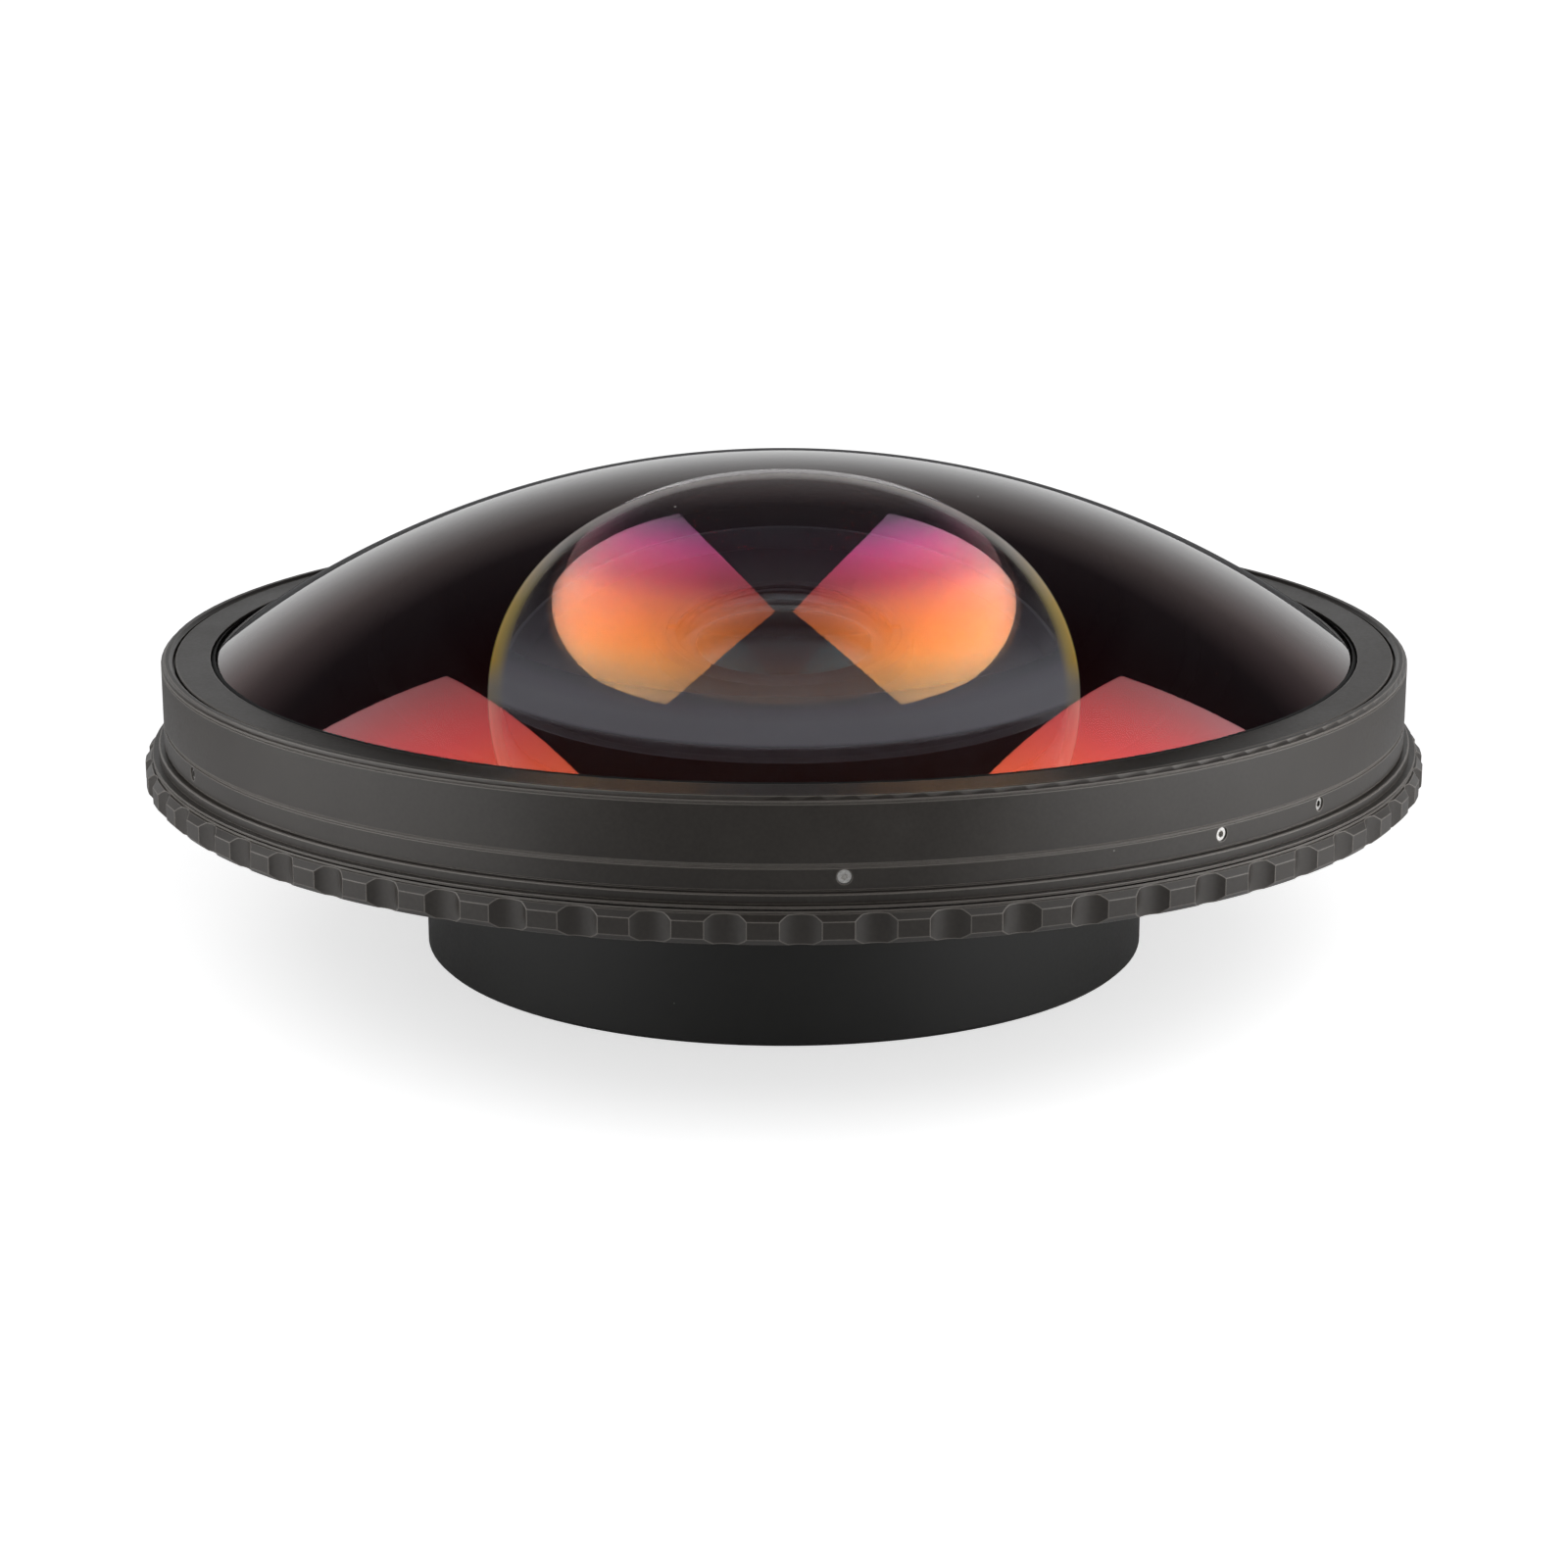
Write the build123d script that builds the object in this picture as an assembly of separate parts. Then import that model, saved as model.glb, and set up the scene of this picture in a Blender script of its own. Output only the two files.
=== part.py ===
from build123d import *
import math
import os

# A fisheye wide converter that stands on its rear barrel, with the front glass up.
# The optical axis is +Z, the origin is the centre of the rear barrel's end face, and -Y is the viewed front.
# The mount carries the rear optics. The front housing carries the big glass and swivels on the mount.
# The knurled lock ring is screwed on the housing's skirt, and its lip draws the two together.

# Fits, in millimetres
running_clearance = 0.05
seat_clearance = 0.05
cement_gap = 0.02
cut_overrun = 1.0

# Rear thread ring and rear barrel
mount_thread_radius = 35.6
thread_ring_wall = 2.0
thread_ring_height = 4.0
thread_ring_recess = 0.4
barrel_wall = 1.75
barrel_edge_chamfer = 0.4

# Rear housing, a shallow cone that widens from the barrel to the swivel rim
flange_thickness = 2.0
flange_overhang = 1.6
cone_wall_step = 0.5
cone_rise = 7.9
rim_thickness = 1.2
rim_width = 4.25
cone_lip_gap = 0.6
swivel_washer_thickness = 0.35
swivel_washer_width = 3.4

# Screws that hold the rear housing on the barrel
barrel_screw_count = 6
barrel_screw_inset = 2.8
barrel_screw_head_radius = 1.7
barrel_screw_head_height = 1.0
barrel_screw_shank_radius = 0.9
barrel_screw_shank_length = 5.5
barrel_screw_socket_radius = 0.8
barrel_screw_socket_depth = 0.6

# Inner cell, which carries the second element and the rear pair
cell_inset = 2.6
cell_foot = 2.4
cell_wall = 2.95
cell_flange_width = 1.0
cell_flange_thickness = 0.6
cell_seat_width = 2.0
cell_throat_thickness = 0.6
cell_taper_height = 2.73
nose_height = 5.1
nose_wall = 0.9
nose_gap = 2.0
collar_height = 2.9
collar_wall = 1.5
second_seat_width = 2.05

# Front glass
glass_back_gap = 0.5
glass_back_inset = 1.0
glass_back_land = 3.2
glass_centre_thickness = 5.54
glass_radius = 63.3
glass_edge_height = 4.98
dome_height = 21.26

# Second element, a small meniscus in the middle of the cell, under the front glass's hollow
second_radius = 14.4
second_edge_height = 0.9
second_bulge = 6.1
second_hollow_depth = 3.6
second_land_width = 1.5
second_retainer_width = 1.1
field_stop_thickness = 0.3
field_stop_width = 4.0

# Rear cemented pair
crown_edge_height = 1.8
crown_bulge = 2.0
cement_bulge = 3.81
flint_edge_height = 1.8
flint_bulge = 3.51
flint_clearance = 0.35
rear_retainer_width = 2.2

# Spanner notches in the screwed rings
notch_width = 1.6
notch_depth = 0.6

# Front housing, with its seat for the glass
shelf_thickness = 1.8
shelf_width = 3.3
seat_ring_height = 2.25
seat_ring_width = 2.8
glass_side_gap = 0.15
neck_wall = 1.75
neck_drop = 0.48
skirt_step = 1.1
skirt_wall = 1.5
skirt_gap = 0.2
skirt_height = 2.55
ledge_width = 0.6
ledge_height = 0.95
ledge_chamfer = 0.1
shadow_groove_height = 0.2
shadow_groove_depth = 0.2
band_height = 2.05

# Set screws round the lower band, as angles from the front towards +X
set_screw_azimuths = (-115.3, -63.2, 4.7, 38.3, 51.5, 124.7, 171.5)
set_screw_radius = 0.65
set_screw_height_share = 0.6
set_screw_recess = 0.15
set_screw_tip_gap = 0.1
set_screw_socket_radius = 0.35
set_screw_socket_depth = 0.8

# Front shell, which makes the upper band and the lip
shell_wall = 1.65
parting_groove_height = 0.19
parting_groove_depth = 0.2
lip_line_drop = 0.7
lip_line_height = 0.15
lip_line_depth = 0.15
lip_proud = 0.2
lip_outer_round = 0.4
lip_crest_width = 0.5
lip_inner_slope = 0.3
lip_groove_width = 0.2
lip_groove_depth = 0.9

# Front retaining ring and its seal
ring_seat_step = 0.2
retaining_ring_gap = 0.15
retaining_ring_width = 3.7
retaining_lip_thickness = 0.28
retaining_ring_chamfer = 0.1
seal_thickness = 0.25
seal_inner_reach = 0.5

# Stop washer and knurled lock ring
stop_washer_thickness = 0.25
lock_ring_wall = 2.35
lock_ring_gap = 0.2
lock_lip_thickness = 0.75
lock_lip_overlap = 1.65
tooth_count = 63
tooth_depth = 0.8
tooth_front_azimuth = -1.59
tooth_chamfer = 0.6
tooth_shoulder_height = 0.2
tooth_shoulder_inset = 0.1
scallop_radius = 2.8

# Radii that follow, from the thread outwards
thread_ring_radius = mount_thread_radius + thread_ring_wall
thread_pocket_radius = thread_ring_radius + running_clearance
barrel_radius = thread_pocket_radius + barrel_wall
barrel_screw_circle = barrel_radius - barrel_screw_inset
cell_radius = mount_thread_radius - cell_inset
cell_bore_radius = cell_radius + running_clearance
pair_bore_radius = cell_radius - cell_wall
pair_seat_radius = pair_bore_radius - cell_seat_width
pair_radius = pair_bore_radius - seat_clearance
cell_flange_radius = cell_radius + cell_flange_width
flange_radius = barrel_radius + flange_overhang
glass_back_radius = flange_radius - glass_back_inset
cavity_rim_radius = glass_back_radius - glass_back_land
nose_radius = cavity_rim_radius - nose_gap
nose_bore_radius = nose_radius - nose_wall
second_bore_radius = second_radius + seat_clearance
collar_radius = second_bore_radius + collar_wall
throat_radius = second_bore_radius - second_seat_width
glass_bore_radius = glass_radius + glass_side_gap
neck_radius = glass_bore_radius + neck_wall
shell_bore_radius = neck_radius + running_clearance
wall_radius = shell_bore_radius + shell_wall
ledge_radius = wall_radius + ledge_width
skirt_radius = wall_radius - skirt_step
lock_bore_radius = skirt_radius + running_clearance
tooth_root_radius = lock_bore_radius + lock_ring_wall
lock_ring_radius = tooth_root_radius + tooth_depth
skirt_bore_radius = skirt_radius - skirt_wall
rim_radius = skirt_bore_radius - running_clearance
rim_inner_radius = rim_radius - rim_width
lock_lip_radius = rim_radius - lock_lip_overlap
shelf_radius = glass_radius - shelf_width
seat_ring_radius = glass_bore_radius - seat_clearance
seat_ring_inner_radius = glass_radius - seat_ring_width
ring_bore_radius = shell_bore_radius + ring_seat_step
retaining_ring_radius = ring_bore_radius - running_clearance
retaining_ring_inner_radius = retaining_ring_radius - retaining_ring_width
seal_inner_radius = retaining_ring_inner_radius - seal_inner_reach


def sphere_radius(rim, rise):
    """Radius of the sphere whose cap has this rim radius and this rise."""
    return (rim * rim + rise * rise) / (2 * rise)


def cap_drop(sphere, distance):
    """How far a sphere falls below its top at this distance from the axis."""
    return sphere - math.sqrt(sphere * sphere - distance * distance)


# Spheres of the ground surfaces
dome_sphere = sphere_radius(glass_radius, dome_height)
second_sphere = sphere_radius(second_radius, second_bulge)
second_hollow_sphere = sphere_radius(second_radius - second_land_width, second_hollow_depth)
crown_sphere = sphere_radius(pair_radius, crown_bulge)
cement_sphere = sphere_radius(pair_radius, cement_bulge)
flint_sphere = sphere_radius(pair_radius, flint_bulge)
crown_seat_drop = cap_drop(crown_sphere, pair_radius) - cap_drop(crown_sphere, pair_seat_radius)

# Heights that follow, from the barrel's end face up through the rear pair to the flange
thread_ring_top = thread_ring_recess + thread_ring_height
flint_bottom = thread_ring_top + flint_clearance
flint_edge_bottom = flint_bottom + flint_bulge
flint_edge_top = flint_edge_bottom + flint_edge_height
crown_edge_bottom = flint_edge_top + cement_gap
crown_bottom = crown_edge_bottom - cement_bulge
crown_edge_top = crown_edge_bottom + crown_edge_height
crown_top = crown_edge_top + crown_bulge
cell_bottom = flint_edge_bottom - cell_foot
cell_shoulder = crown_edge_top + crown_seat_drop + seat_clearance
cell_throat_bottom = cell_shoulder + cell_taper_height
cell_top = cell_throat_bottom + cell_throat_thickness
flange_top = cell_top - cell_flange_thickness
barrel_height = flange_top - flange_thickness
barrel_screw_shoulder = flange_top - barrel_screw_head_height

# Heights of the nose, the collar and the second element
nose_top = cell_top + nose_height
collar_top = cell_top + collar_height
second_bottom = cell_top + field_stop_thickness + seat_clearance
second_top = second_bottom + second_edge_height + second_bulge

# Heights of the swivel, the front housing and its glass
glass_back = cell_top + glass_back_gap
rim_bottom = barrel_height + cone_rise
rim_top = rim_bottom + rim_thickness
swivel_washer_top = rim_top + swivel_washer_thickness
shelf_bottom = swivel_washer_top + running_clearance
shelf_top = shelf_bottom + shelf_thickness
glass_edge_bottom = shelf_top + seat_ring_height + seat_clearance
glass_edge_top = glass_edge_bottom + glass_edge_height
dome_top = glass_edge_top + dome_height
cavity_top = dome_top - glass_centre_thickness
cavity_sphere = sphere_radius(cavity_rim_radius, cavity_top - glass_back)
neck_top = glass_edge_top - neck_drop
skirt_bottom = rim_bottom + skirt_gap
ledge_bottom = skirt_bottom + skirt_height
ledge_top = ledge_bottom + ledge_height
band_bottom = ledge_top + shadow_groove_height
band_top = band_bottom + band_height
parting_height = band_top + parting_groove_height
shell_wall_bottom = parting_height + parting_groove_height
set_screw_height = band_bottom + band_height * set_screw_height_share

# Heights of the stop washer and the lock ring
stop_washer_bottom = ledge_bottom - stop_washer_thickness
lock_ring_top = stop_washer_bottom - lock_ring_gap
lock_lip_top = rim_bottom - running_clearance
lock_ring_bottom = lock_lip_top - lock_lip_thickness


def dome_height_at(distance):
    """Height of the dome's surface at this distance from the axis."""
    return dome_top - cap_drop(dome_sphere, distance)


def bevel_height_at(distance):
    """Height of the front glass's conical back at this distance from the axis."""
    rise = glass_edge_bottom - glass_back
    return glass_edge_bottom - rise * (glass_radius - distance) / (glass_radius - glass_back_radius)


def ring_underside_at(distance):
    """Height of the retaining ring's conical underside, above the dome and the seal."""
    return dome_height_at(distance) + seal_thickness + 2 * seat_clearance


def flint_height_at(distance):
    """Height of the rear pair's last surface at this distance from the axis."""
    return flint_bottom + cap_drop(flint_sphere, distance)


# Top of the retaining ring, and the lip round it
retaining_ring_top = ring_underside_at(retaining_ring_inner_radius) + retaining_lip_thickness
lip_crest = retaining_ring_top + lip_proud
lip_line_bottom = lip_crest - lip_line_drop
lip_line_top = lip_line_bottom + lip_line_height


def turned(points):
    """A body of revolution about the optical axis, from its half section in radius and height."""
    return revolve(make_face(Plane.XZ * Polyline(*points, close=True)), axis=Axis.Z)


def tube(outer, inner, bottom, top):
    """A plain ring with flat ends."""
    return turned([(inner, bottom), (outer, bottom), (outer, top), (inner, top)])


def disc(radius, bottom, top):
    """A solid cylinder on the optical axis."""
    return Pos(0, 0, bottom) * extrude(Circle(radius), top - bottom)


def ball(radius, centre_height):
    """A sphere centred on the optical axis."""
    return Pos(0, 0, centre_height) * Sphere(radius)


def facing(azimuth, height):
    """A place on the axis at this height, with +X turned outwards at an azimuth from the front."""
    return Pos(0, 0, height) * Rot(0, 0, azimuth - 90)


def radial_rod(azimuth, height, inner, outer, radius):
    """A round rod that runs outwards between two distances from the axis."""
    return facing(azimuth, height) * Pos(inner, 0, 0) * Rot(0, 90, 0) * extrude(Circle(radius), outer - inner)


def spanner_notches(inner, outer, bottom):
    """Two cutters for the notches a spanner turns a screwed ring by."""
    length = outer - inner + 2 * cut_overrun
    middle = (outer + inner) / 2
    cutter = extrude(Rectangle(length, notch_width), notch_depth + cut_overrun)
    return [Rot(0, 0, turn) * Pos(middle, 0, bottom) * cutter for turn in (0, 180)]


def mount_thread_ring():
    """Screwed ring with the female thread, its bore at the thread's crests."""
    ring = tube(thread_ring_radius, mount_thread_radius, thread_ring_recess, thread_ring_top)
    return ring - spanner_notches(mount_thread_radius, thread_ring_radius, thread_ring_recess - cut_overrun)


def barrel_screw_places():
    """Places of the barrel's screws, on the plane under their heads."""
    circle = PolarLocations(barrel_screw_circle, barrel_screw_count)
    return [Pos(0, 0, barrel_screw_shoulder) * place for place in circle.local_locations]


def rear_barrel():
    """Smooth outer tube, with a pocket for the thread ring and a bore for the cell."""
    barrel = turned([
        (thread_pocket_radius, 0),
        (barrel_radius - barrel_edge_chamfer, 0),
        (barrel_radius, barrel_edge_chamfer),
        (barrel_radius, barrel_height),
        (cell_bore_radius, barrel_height),
        (cell_bore_radius, thread_ring_top),
        (thread_pocket_radius, thread_ring_top),
    ])
    depth = barrel_screw_shank_length + running_clearance
    hole = Pos(0, 0, -depth) * extrude(Circle(barrel_screw_shank_radius + running_clearance), depth)
    return barrel - [place * hole for place in barrel_screw_places()]


def rear_housing():
    """Shallow cone from the barrel's flange to the rim that the lock ring draws up."""
    cone = turned([
        (cell_bore_radius, barrel_height),
        (flange_radius + cone_wall_step, barrel_height),
        (lock_lip_radius - cone_lip_gap, rim_bottom),
        (rim_radius, rim_bottom),
        (rim_radius, rim_top),
        (rim_inner_radius, rim_top),
        (flange_radius, flange_top),
        (cell_bore_radius, flange_top),
    ])
    through = Pos(0, 0, -flange_thickness) * extrude(
        Circle(barrel_screw_shank_radius + running_clearance), flange_thickness + cut_overrun)
    sink = extrude(Circle(barrel_screw_head_radius + running_clearance), barrel_screw_head_height + cut_overrun)
    return cone - [place * (through + sink) for place in barrel_screw_places()]


def barrel_screws():
    """Cap screws through the rear housing's flange into the barrel."""
    socket = Pos(0, 0, barrel_screw_head_height - barrel_screw_socket_depth) * extrude(
        RegularPolygon(barrel_screw_socket_radius, 6), barrel_screw_socket_depth + cut_overrun)
    head = extrude(Circle(barrel_screw_head_radius), barrel_screw_head_height) - socket
    shank = Pos(0, 0, -barrel_screw_shank_length) * extrude(
        Circle(barrel_screw_shank_radius), barrel_screw_shank_length)
    return Compound(children=[place * (head + shank) for place in barrel_screw_places()])


def swivel_washer():
    """Thin slip washer between the rim and the front housing."""
    outer = rim_radius - seat_clearance
    return tube(outer, rim_radius - swivel_washer_width, rim_top, swivel_washer_top)


def inner_cell():
    """Lens cell that hangs in the barrel and stands up as a shallow bowl in the front glass's hollow."""
    return turned([
        (pair_bore_radius, cell_bottom),
        (cell_radius, cell_bottom),
        (cell_radius, flange_top),
        (cell_flange_radius, flange_top),
        (cell_flange_radius, cell_top),
        (nose_radius, cell_top),
        (nose_radius, nose_top),
        (nose_bore_radius, nose_top),
        (nose_bore_radius, cell_top),
        (collar_radius, cell_top),
        (collar_radius, collar_top),
        (second_bore_radius, collar_top),
        (second_bore_radius, cell_top),
        (throat_radius, cell_top),
        (throat_radius, cell_throat_bottom),
        (pair_seat_radius, cell_shoulder),
        (pair_bore_radius, cell_shoulder),
    ])


def field_stop():
    """Flat ring that stops stray light under the second element."""
    return tube(second_radius, second_radius - field_stop_width, cell_top, cell_top + field_stop_thickness)


def second_element():
    """Meniscus with its bulge towards the front glass's hollow."""
    bulge = disc(second_radius, second_bottom, second_top) & ball(second_sphere, second_top - second_sphere)
    hollow_centre = second_bottom + second_hollow_depth - second_hollow_sphere
    return bulge - ball(second_hollow_sphere, hollow_centre)


def second_element_retainer():
    """Screwed ring in the collar, with an underside that follows the glass."""
    inner = second_radius - second_retainer_width
    glass_rise = second_top + seat_clearance
    ring = turned([
        (inner, glass_rise - cap_drop(second_sphere, inner)),
        (second_radius, glass_rise - cap_drop(second_sphere, second_radius)),
        (second_radius, collar_top),
        (inner, collar_top),
    ])
    return ring - spanner_notches(inner, second_radius, collar_top - notch_depth)


def rear_crown_element():
    """Front half of the cemented pair, bulged on both sides."""
    upper = ball(crown_sphere, crown_top - crown_sphere)
    lower = ball(cement_sphere, crown_bottom + cement_sphere)
    return disc(pair_radius, crown_bottom, crown_top) & upper & lower


def rear_flint_element():
    """Rear half of the cemented pair, hollow where the front half lies in it."""
    outside = ball(flint_sphere, flint_bottom + flint_sphere)
    hollow = ball(cement_sphere, crown_bottom - cement_gap + cement_sphere)
    return (disc(pair_radius, flint_bottom, flint_edge_top) & outside) - hollow


def rear_element_retainer():
    """Screwed ring under the cemented pair."""
    inner = pair_radius - rear_retainer_width
    ring = turned([
        (inner, cell_bottom),
        (pair_radius, cell_bottom),
        (pair_radius, flint_height_at(pair_radius) - seat_clearance),
        (inner, flint_height_at(inner) - seat_clearance),
    ])
    return ring - spanner_notches(inner, pair_radius, cell_bottom - cut_overrun)


def front_element():
    """Big meniscus: a dome in front, a deep hollow and a conical ground back behind."""
    blank = turned([
        (0, glass_back),
        (glass_back_radius, glass_back),
        (glass_radius, glass_edge_bottom),
        (glass_radius, dome_top),
        (0, dome_top),
    ])
    domed = blank & ball(dome_sphere, dome_top - dome_sphere)
    return domed - ball(cavity_sphere, cavity_top - cavity_sphere)


def glass_seat_ring():
    """Wedge ring that the front glass's conical back lies on."""
    return turned([
        (seat_ring_inner_radius, shelf_top),
        (seat_ring_radius, shelf_top),
        (seat_ring_radius, bevel_height_at(glass_radius) - seat_clearance),
        (glass_radius, bevel_height_at(glass_radius) - seat_clearance),
        (seat_ring_inner_radius, bevel_height_at(seat_ring_inner_radius) - seat_clearance),
    ])


def main_housing():
    """Ring with the glass's shelf, the lower band, the ledge and the skirt for the lock ring."""
    body = turned([
        (shelf_radius, shelf_bottom),
        (skirt_bore_radius, shelf_bottom),
        (skirt_bore_radius, skirt_bottom),
        (skirt_radius, skirt_bottom),
        (skirt_radius, ledge_bottom),
        (ledge_radius, ledge_bottom),
        (ledge_radius, ledge_top - ledge_chamfer),
        (ledge_radius - ledge_chamfer, ledge_top),
        (wall_radius - shadow_groove_depth, ledge_top),
        (wall_radius - shadow_groove_depth, band_bottom),
        (wall_radius, band_bottom),
        (wall_radius, band_top),
        (wall_radius - parting_groove_depth, band_top),
        (wall_radius - parting_groove_depth, parting_height),
        (neck_radius, parting_height),
        (neck_radius, neck_top),
        (glass_bore_radius, neck_top),
        (glass_bore_radius, shelf_top),
        (shelf_radius, shelf_top),
    ])
    radius = set_screw_radius + running_clearance
    inner = glass_bore_radius - cut_overrun
    outer = wall_radius + cut_overrun
    return body - [radial_rod(turn, set_screw_height, inner, outer, radius) for turn in set_screw_azimuths]


def set_screws():
    """Socket set screws in the lower band, which centre the glass's seat ring."""
    outer = wall_radius - set_screw_recess
    inner = seat_ring_radius + set_screw_tip_gap
    floor = outer - set_screw_socket_depth
    screws = []
    for turn in set_screw_azimuths:
        rod = radial_rod(turn, set_screw_height, inner, outer, set_screw_radius)
        socket = extrude(RegularPolygon(set_screw_socket_radius, 6), set_screw_socket_depth + cut_overrun)
        screws.append(rod - facing(turn, set_screw_height) * Pos(floor, 0, 0) * Rot(0, 90, 0) * socket)
    return Compound(children=screws)


def front_shell():
    """Upper band screwed on the neck, with a rounded lip round the retaining ring."""
    crest_outer = wall_radius - lip_outer_round
    groove_radius = ring_bore_radius + lip_groove_width
    upright = Plane.XZ * Polyline(
        (crest_outer - lip_crest_width, lip_crest),
        (groove_radius, lip_crest - lip_inner_slope),
        (groove_radius, lip_crest - lip_groove_depth),
        (ring_bore_radius, lip_crest - lip_groove_depth),
        (ring_bore_radius, neck_top),
        (shell_bore_radius, neck_top),
        (shell_bore_radius, parting_height),
        (wall_radius - parting_groove_depth, parting_height),
        (wall_radius - parting_groove_depth, shell_wall_bottom),
        (wall_radius, shell_wall_bottom),
        (wall_radius, lip_line_bottom),
        (wall_radius - lip_line_depth, lip_line_bottom),
        (wall_radius - lip_line_depth, lip_line_top),
        (wall_radius, lip_line_top),
        (wall_radius, lip_crest - lip_outer_round),
    )
    rounded = Plane.XZ * RadiusArc(
        (wall_radius, lip_crest - lip_outer_round), (crest_outer, lip_crest), lip_outer_round)
    crest = Plane.XZ * Line((crest_outer, lip_crest), (crest_outer - lip_crest_width, lip_crest))
    return revolve(make_face(upright.edges() + rounded.edges() + crest.edges()), axis=Axis.Z)


def front_retaining_ring():
    """Flat screwed ring whose conical underside holds the glass down through the seal."""
    inner = retaining_ring_inner_radius
    return turned([
        (inner, ring_underside_at(inner)),
        (glass_bore_radius, ring_underside_at(glass_bore_radius)),
        (glass_bore_radius, neck_top + retaining_ring_gap),
        (retaining_ring_radius, neck_top + retaining_ring_gap),
        (retaining_ring_radius, retaining_ring_top - retaining_ring_chamfer),
        (retaining_ring_radius - retaining_ring_chamfer, retaining_ring_top),
        (inner, retaining_ring_top),
    ])


def front_seal():
    """Thin rubber ring between the dome's edge and the retaining ring."""
    low_inner = dome_height_at(seal_inner_radius) + seat_clearance
    low_outer = dome_height_at(glass_radius) + seat_clearance
    return turned([
        (seal_inner_radius, low_inner),
        (glass_radius, low_outer),
        (glass_radius, low_outer + seal_thickness),
        (seal_inner_radius, low_inner + seal_thickness),
    ])


def stop_washer():
    """Thin ledge ring under the housing's ledge, round the skirt."""
    return tube(tooth_root_radius, lock_bore_radius, stop_washer_bottom, ledge_bottom)


def knurled_ring():
    """Lock ring with a lip under the rim and hollow scallops between its teeth."""
    land = tooth_root_radius - tooth_shoulder_inset
    chamfer_inner = lock_ring_radius - tooth_chamfer
    shoulder = lock_ring_top - tooth_shoulder_height
    ring = turned([
        (lock_lip_radius, lock_ring_bottom),
        (chamfer_inner, lock_ring_bottom),
        (lock_ring_radius, lock_ring_bottom + tooth_chamfer),
        (lock_ring_radius, shoulder - tooth_chamfer),
        (chamfer_inner, shoulder),
        (land, shoulder),
        (land, lock_ring_top),
        (lock_bore_radius, lock_ring_top),
        (lock_bore_radius, lock_lip_top),
        (lock_lip_radius, lock_lip_top),
    ])
    half_tooth = 180 / tooth_count
    first = tooth_front_azimuth - 90 + half_tooth
    scallops = PolarLocations(tooth_root_radius + scallop_radius, tooth_count, first) * Circle(scallop_radius)
    outline = Circle(lock_ring_radius + cut_overrun) - scallops
    return ring & (Pos(0, 0, lock_ring_bottom) * extrude(outline, lock_ring_top - lock_ring_bottom))


pieces = {
    "mount_thread_ring": mount_thread_ring(),
    "rear_barrel": rear_barrel(),
    "rear_housing": rear_housing(),
    "barrel_screws": barrel_screws(),
    "swivel_washer": swivel_washer(),
    "inner_cell": inner_cell(),
    "field_stop": field_stop(),
    "second_element": second_element(),
    "second_element_retainer": second_element_retainer(),
    "rear_crown_element": rear_crown_element(),
    "rear_flint_element": rear_flint_element(),
    "rear_element_retainer": rear_element_retainer(),
    "front_element": front_element(),
    "glass_seat_ring": glass_seat_ring(),
    "main_housing": main_housing(),
    "set_screws": set_screws(),
    "front_shell": front_shell(),
    "front_retaining_ring": front_retaining_ring(),
    "front_seal": front_seal(),
    "stop_washer": stop_washer(),
    "knurled_ring": knurled_ring(),
}

os.makedirs("parts", exist_ok=True)
for name, piece in pieces.items():
    export_step(piece, f"parts/{name}.step")
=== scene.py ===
"""Looks of the fisheye converter lens: coated glass, satin and matte black metal, a pale studio.

Everything is in metres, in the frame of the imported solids: +Z along the optical axis, the lens
standing on its rear barrel at z = 0, and -Y the side that the camera looks at.
"""

import math

import bpy
from mathutils import Matrix, Vector


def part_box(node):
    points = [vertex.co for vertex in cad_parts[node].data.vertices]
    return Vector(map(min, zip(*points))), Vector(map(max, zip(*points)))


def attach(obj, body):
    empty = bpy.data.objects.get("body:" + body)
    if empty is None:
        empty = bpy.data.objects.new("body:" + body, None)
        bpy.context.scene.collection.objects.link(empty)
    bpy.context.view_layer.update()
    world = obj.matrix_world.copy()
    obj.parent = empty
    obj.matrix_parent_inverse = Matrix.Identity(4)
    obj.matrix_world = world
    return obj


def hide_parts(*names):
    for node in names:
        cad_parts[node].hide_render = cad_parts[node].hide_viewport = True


MM = 0.001

# Camera, fitted to the ellipses in the photograph
CAMERA_PLACE = (0.0, -363.1 * MM, 114.1 * MM)
CAMERA_TARGET = (0.0, 0.0, 16.8 * MM)
CAMERA_LENS = 78.3
CAMERA_SENSOR = 36.0

# Steps round a turned piece, and along an arc of its section. Nearer than this, a point is on the axis.
TURN_STEPS = 288
ARC_STEPS = 72
ON_AXIS = 1e-9

# Front glass: what the box of its solid doesn't tell
DOME_HEIGHT = 21.26 * MM
GLASS_RADIUS = 63.3 * MM
GLASS_EDGE_HEIGHT = 4.98 * MM
GLASS_BACK_RADIUS = 40.0 * MM
CAVITY_RIM = 36.8 * MM
GLASS_CENTRE = 5.54 * MM

# Second element
SECOND_RADIUS = 14.4 * MM
SECOND_EDGE = 0.9 * MM
SECOND_LAND = 1.5 * MM
SECOND_HOLLOW = 3.6 * MM

# Rear pair
PAIR_RADIUS = 30.0 * MM
CROWN_BULGE = 2.0 * MM
CEMENT_BULGE = 3.81 * MM
FLINT_BULGE = 3.51 * MM

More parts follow.
